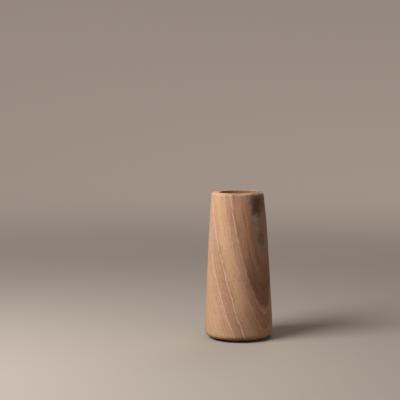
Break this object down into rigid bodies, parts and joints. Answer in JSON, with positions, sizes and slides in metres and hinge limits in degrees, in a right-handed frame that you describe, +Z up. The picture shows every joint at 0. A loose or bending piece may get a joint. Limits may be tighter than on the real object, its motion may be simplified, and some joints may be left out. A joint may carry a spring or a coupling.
{
  "type": "sandstone vase",
  "caption": "Tapered vase turned from banded sandstone, with a drilled bore lined with resin and a foam pad under the foot.",
  "frame": {"origin": "centre of the pad's lower face, where the vase stands on the table", "axes": "+Z up along the turning axis; -Y is the side that faces the camera in the picture, with the grey-brown layer towards +X"},
  "size_m": [0.0928, 0.0928, 0.2],
  "materials": {
    "sandstone": "honed and unpolished, with pale veins and grey-brown layers",
    "lining_resin": "satin resin coat that shows the wetted stone behind it",
    "pad_foam": "matt black closed-cell foam",
    "adhesive_film": "cloudy acrylic film"
  },
  "bodies": {
    "root": {"stone_body": "sandstone", "bore_lining": "lining_resin", "foot_pad": "pad_foam", "pad_adhesive": "adhesive_film"}
  },
  "joints": []
}
